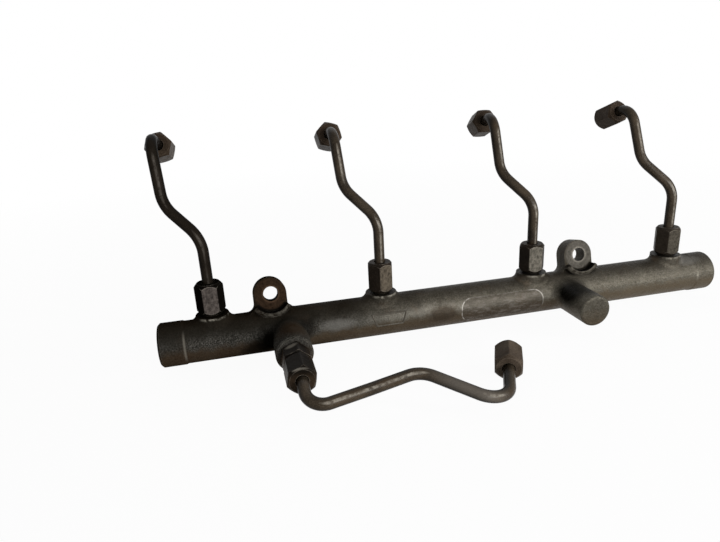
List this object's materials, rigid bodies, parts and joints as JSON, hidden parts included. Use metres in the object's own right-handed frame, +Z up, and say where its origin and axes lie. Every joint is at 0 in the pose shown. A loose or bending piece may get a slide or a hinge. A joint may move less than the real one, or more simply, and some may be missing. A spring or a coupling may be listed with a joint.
{
  "type": "fuel rail",
  "caption": "Forged steel high-pressure fuel rail with bent injector pipes, union nuts, two bolt lugs and a short feed pipe.",
  "frame": {"origin": "centre of the rail's left end face, on the axis of the main bore", "axes": "+X along the rail to its right end, +Y to the back, where the injector pipes point, +Z up along the four port seats"},
  "size_m": [0.351, 0.151, 0.1277],
  "materials": {
    "rail_steel": "forged, oiled, dark oxide with rust bloom",
    "pipe_steel": "drawn tube, dark oxide, thin oily film",
    "nut_steel": "turned hexagon, dark oxide worn pale at the corners",
    "sleeve_steel": "turned, phosphated"
  },
  "bodies": {
    "root": {"rail_body": "rail_steel", "injector_pipe_1": "pipe_steel", "rail_nut_1": "nut_steel", "rail_sleeve_1": "sleeve_steel", "injector_sleeve_1": "sleeve_steel", "injector_pipe_2": "pipe_steel", "rail_nut_2": "nut_steel", "rail_sleeve_2": "sleeve_steel", "injector_sleeve_2": "sleeve_steel", "injector_pipe_3": "pipe_steel", "rail_nut_3": "nut_steel", "rail_sleeve_3": "sleeve_steel", "injector_sleeve_3": "sleeve_steel", "injector_pipe_4": "pipe_steel", "rail_nut_4": "nut_steel", "rail_sleeve_4": "sleeve_steel", "injector_sleeve_4": "sleeve_steel", "feed_adapter": "nut_steel", "feed_pipe": "pipe_steel", "feed_rail_nut": "nut_steel", "feed_rail_sleeve": "sleeve_steel", "feed_end_sleeve": "sleeve_steel"},
    "injector_nut_1": {"injector_nut_1": "nut_steel"},
    "injector_nut_2": {"injector_nut_2": "nut_steel"},
    "injector_nut_3": {"injector_nut_3": "nut_steel"},
    "injector_nut_4": {"injector_nut_4": "nut_steel"},
    "feed_end_nut": {"feed_end_nut": "nut_steel"}
  },
  "joints": [
    {"name": "injector_nut_1_turn", "type": "hinge", "parent": "root", "child": "injector_nut_1", "pos_m": [0.01115, 0.03785, 0.1049], "axis": [0.0373, 0.9576, -0.2857], "continuous": true},
    {"name": "injector_nut_2_turn", "type": "hinge", "parent": "root", "child": "injector_nut_2", "pos_m": [0.10865, 0.03497, 0.10414], "axis": [0.0386, 0.96, -0.2773], "continuous": true},
    {"name": "injector_nut_3_turn", "type": "hinge", "parent": "root", "child": "injector_nut_3", "pos_m": [0.20904, 0.03761, 0.1052], "axis": [0.1441, 0.9504, -0.2756], "continuous": true},
    {"name": "injector_nut_4_turn", "type": "hinge", "parent": "root", "child": "injector_nut_4", "pos_m": [0.30131, 0.03299, 0.10529], "axis": [0.0091, 0.9505, -0.3107], "continuous": true},
    {"name": "feed_end_nut_turn", "type": "hinge", "parent": "root", "child": "feed_end_nut", "pos_m": [0.1734, -0.07095, -0.0081], "axis": [0.4294, 0.8987, 0.0899], "continuous": true}
  ]
}
